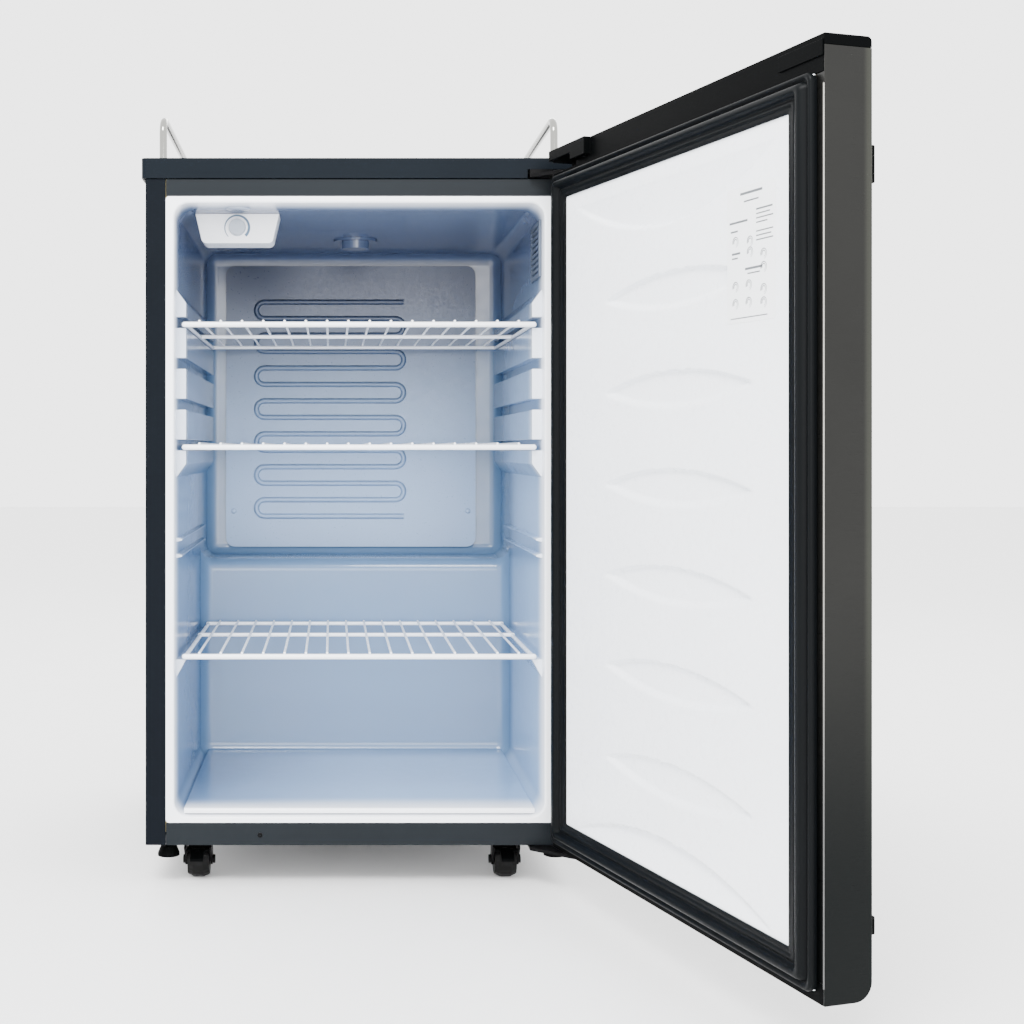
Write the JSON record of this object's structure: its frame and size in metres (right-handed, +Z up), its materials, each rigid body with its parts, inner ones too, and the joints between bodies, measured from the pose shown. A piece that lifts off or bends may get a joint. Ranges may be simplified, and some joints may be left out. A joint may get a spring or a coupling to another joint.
{
  "type": "kegerator",
  "caption": "Full-size kegerator in refrigerator form: open reversible door, wire shelves, plugged tower hole, guard rail and locking casters.",
  "frame": {"origin": "middle of the base of the whole box, on the floor, with the door open as modelled", "axes": "+X to the right seen from the front, +Y to the back of the cabinet, +Z up; the door opens towards -Y"},
  "size_m": [0.7204, 1.0902, 0.9572],
  "materials": {
    "slate_paint": "satin",
    "beam_paint": "satin",
    "door_steel": "satin",
    "white_liner": "gloss",
    "white_wire": "gloss",
    "dial_grey": "satin",
    "black_plastic": "satin",
    "black_paint": "satin",
    "gasket_rubber": "matt",
    "caster_tread": "satin",
    "rail_chrome": "polished",
    "zinc_steel": "satin",
    "plate_aluminium": "satin",
    "copper_tube": "satin",
    "foam": "matt"
  },
  "bodies": {
    "cabinet": {"side_panel_left": "slate_paint", "side_panel_right": "slate_paint", "back_panel": "slate_paint", "base_pan": "zinc_steel", "front_top_beam": "beam_paint", "front_bottom_beam": "beam_paint", "worktop": "slate_paint", "inner_liner": "white_liner", "insulation_foam": "foam", "evaporator_plate": "plate_aluminium", "thermostat_housing": "white_liner", "thermostat_switch": "black_plastic", "fan_grille": "white_liner", "fan_frame": "black_plastic", "tower_sleeve": "white_liner", "ceiling_plug": "white_liner", "guard_rail": "rail_chrome", "machine_shroud": "zinc_steel", "rear_cover": "slate_paint", "power_inlet": "black_plastic", "compressor": "black_paint", "condenser_coil": "black_paint", "filter_drier": "copper_tube", "suction_line": "copper_tube", "drain_pan": "black_plastic", "top_hinge_bracket": "black_paint", "bottom_hinge_bracket": "black_paint", "caster_plate_front_left": "zinc_steel", "caster_plate_front_right": "zinc_steel", "caster_plate_rear_left": "zinc_steel", "caster_plate_rear_right": "zinc_steel"},
    "door": {"door_skin": "door_steel", "door_foam": "foam", "door_liner": "white_liner", "door_gasket": "gasket_rubber", "door_top_cap": "black_plastic", "door_bottom_cap": "black_plastic", "hinge_blanking_cover": "black_plastic", "handle_bracket_top": "black_plastic", "handle_bracket_bottom": "black_plastic", "handle_bar": "door_steel"},
    "thermostat_knob": {"thermostat_knob": "dial_grey"},
    "fan_impeller": {"fan_impeller": "black_plastic"},
    "tower_hole_cap": {"tower_hole_cap": "black_plastic"},
    "floor_plate": {"floor_plate": "white_liner"},
    "shelf_top": {"shelf_top": "white_wire"},
    "shelf_middle": {"shelf_middle": "white_wire"},
    "shelf_low": {"shelf_low": "white_wire"},
    "foot_left": {"foot_left": "black_plastic"},
    "foot_right": {"foot_right": "black_plastic"},
    "caster_fork_front_left": {"caster_fork_front_left": "zinc_steel"},
    "caster_wheel_front_left": {"caster_wheel_front_left": "caster_tread"},
    "caster_fork_front_right": {"caster_fork_front_right": "zinc_steel"},
    "caster_wheel_front_right": {"caster_wheel_front_right": "caster_tread"},
    "caster_fork_rear_left": {"caster_fork_rear_left": "zinc_steel"},
    "caster_wheel_rear_left": {"caster_wheel_rear_left": "caster_tread"},
    "caster_fork_rear_right": {"caster_fork_rear_right": "zinc_steel"},
    "caster_wheel_rear_right": {"caster_wheel_rear_right": "caster_tread"},
    "brake_lever_front_left": {"brake_lever_front_left": "black_plastic"},
    "brake_lever_front_right": {"brake_lever_front_right": "black_plastic"}
  },
  "joints": [
    {"name": "door_hinge", "type": "hinge", "parent": "cabinet", "child": "door", "pos_m": [0.16277, -0.0373, 0.475], "axis": [0, 0, 1], "range_deg": [-106.9, 13.1]},
    {"name": "shelf_top_slide", "type": "slide", "parent": "cabinet", "child": "shelf_top", "axis": [0, -1, 0], "range_m": [0, 0.3]},
    {"name": "shelf_middle_slide", "type": "slide", "parent": "cabinet", "child": "shelf_middle", "axis": [0, -1, 0], "range_m": [0, 0.3]},
    {"name": "shelf_low_slide", "type": "slide", "parent": "cabinet", "child": "shelf_low", "axis": [0, -1, 0], "range_m": [0, 0.25]},
    {"name": "thermostat_turn", "type": "hinge", "parent": "cabinet", "child": "thermostat_knob", "pos_m": [-0.24853, 0.0731, 0.8178], "axis": [0, -1, 0], "range_deg": [-135, 135]},
    {"name": "fan_spin", "type": "hinge", "parent": "cabinet", "child": "fan_impeller", "pos_m": [0.14177, 0.0656, 0.784], "axis": [1, 0, 0], "continuous": true},
    {"name": "tower_cap_lift", "type": "slide", "parent": "cabinet", "child": "tower_hole_cap", "axis": [0, 0, 1], "range_m": [0, 0.04]},
    {"name": "floor_plate_lift", "type": "slide", "parent": "cabinet", "child": "floor_plate", "axis": [0, 0, 1], "range_m": [0, 0.12]},
    {"name": "caster_swivel_front_left", "type": "hinge", "parent": "cabinet", "child": "caster_fork_front_left", "pos_m": [-0.29423, 0.0451, 0.047], "axis": [0, 0, 1], "continuous": true},
    {"name": "caster_roll_front_left", "type": "hinge", "parent": "caster_fork_front_left", "child": "caster_wheel_front_left", "pos_m": [-0.29423, 0.0531, 0.021], "axis": [1, 0, 0], "continuous": true},
    {"name": "brake_press_front_left", "type": "hinge", "parent": "caster_fork_front_left", "child": "brake_lever_front_left", "pos_m": [-0.29423, 0.0301, 0.038], "axis": [1, 0, 0], "range_deg": [0, 14]},
    {"name": "caster_swivel_front_right", "type": "hinge", "parent": "cabinet", "child": "caster_fork_front_right", "pos_m": [0.08877, 0.0451, 0.047], "axis": [0, 0, 1], "continuous": true},
    {"name": "caster_roll_front_right", "type": "hinge", "parent": "caster_fork_front_right", "child": "caster_wheel_front_right", "pos_m": [0.08877, 0.0531, 0.021], "axis": [1, 0, 0], "continuous": true},
    {"name": "brake_press_front_right", "type": "hinge", "parent": "caster_fork_front_right", "child": "brake_lever_front_right", "pos_m": [0.08877, 0.0301, 0.038], "axis": [1, 0, 0], "range_deg": [0, 14]},
    {"name": "caster_swivel_rear_left", "type": "hinge", "parent": "cabinet", "child": "caster_fork_rear_left", "pos_m": [-0.29423, 0.4901, 0.047], "axis": [0, 0, 1], "continuous": true},
    {"name": "caster_roll_rear_left", "type": "hinge", "parent": "caster_fork_rear_left", "child": "caster_wheel_rear_left", "pos_m": [-0.29423, 0.4981, 0.021], "axis": [1, 0, 0], "continuous": true},
    {"name": "caster_swivel_rear_right", "type": "hinge", "parent": "cabinet", "child": "caster_fork_rear_right", "pos_m": [0.08877, 0.4901, 0.047], "axis": [0, 0, 1], "continuous": true},
    {"name": "caster_roll_rear_right", "type": "hinge", "parent": "caster_fork_rear_right", "child": "caster_wheel_rear_right", "pos_m": [0.08877, 0.4981, 0.021], "axis": [1, 0, 0], "continuous": true},
    {"name": "foot_left_screw", "type": "slide", "parent": "cabinet", "child": "foot_left", "axis": [0, 0, 1], "range_m": [-0.01, 0]},
    {"name": "foot_right_screw", "type": "slide", "parent": "cabinet", "child": "foot_right", "axis": [0, 0, 1], "range_m": [-0.01, 0]}
  ]
}
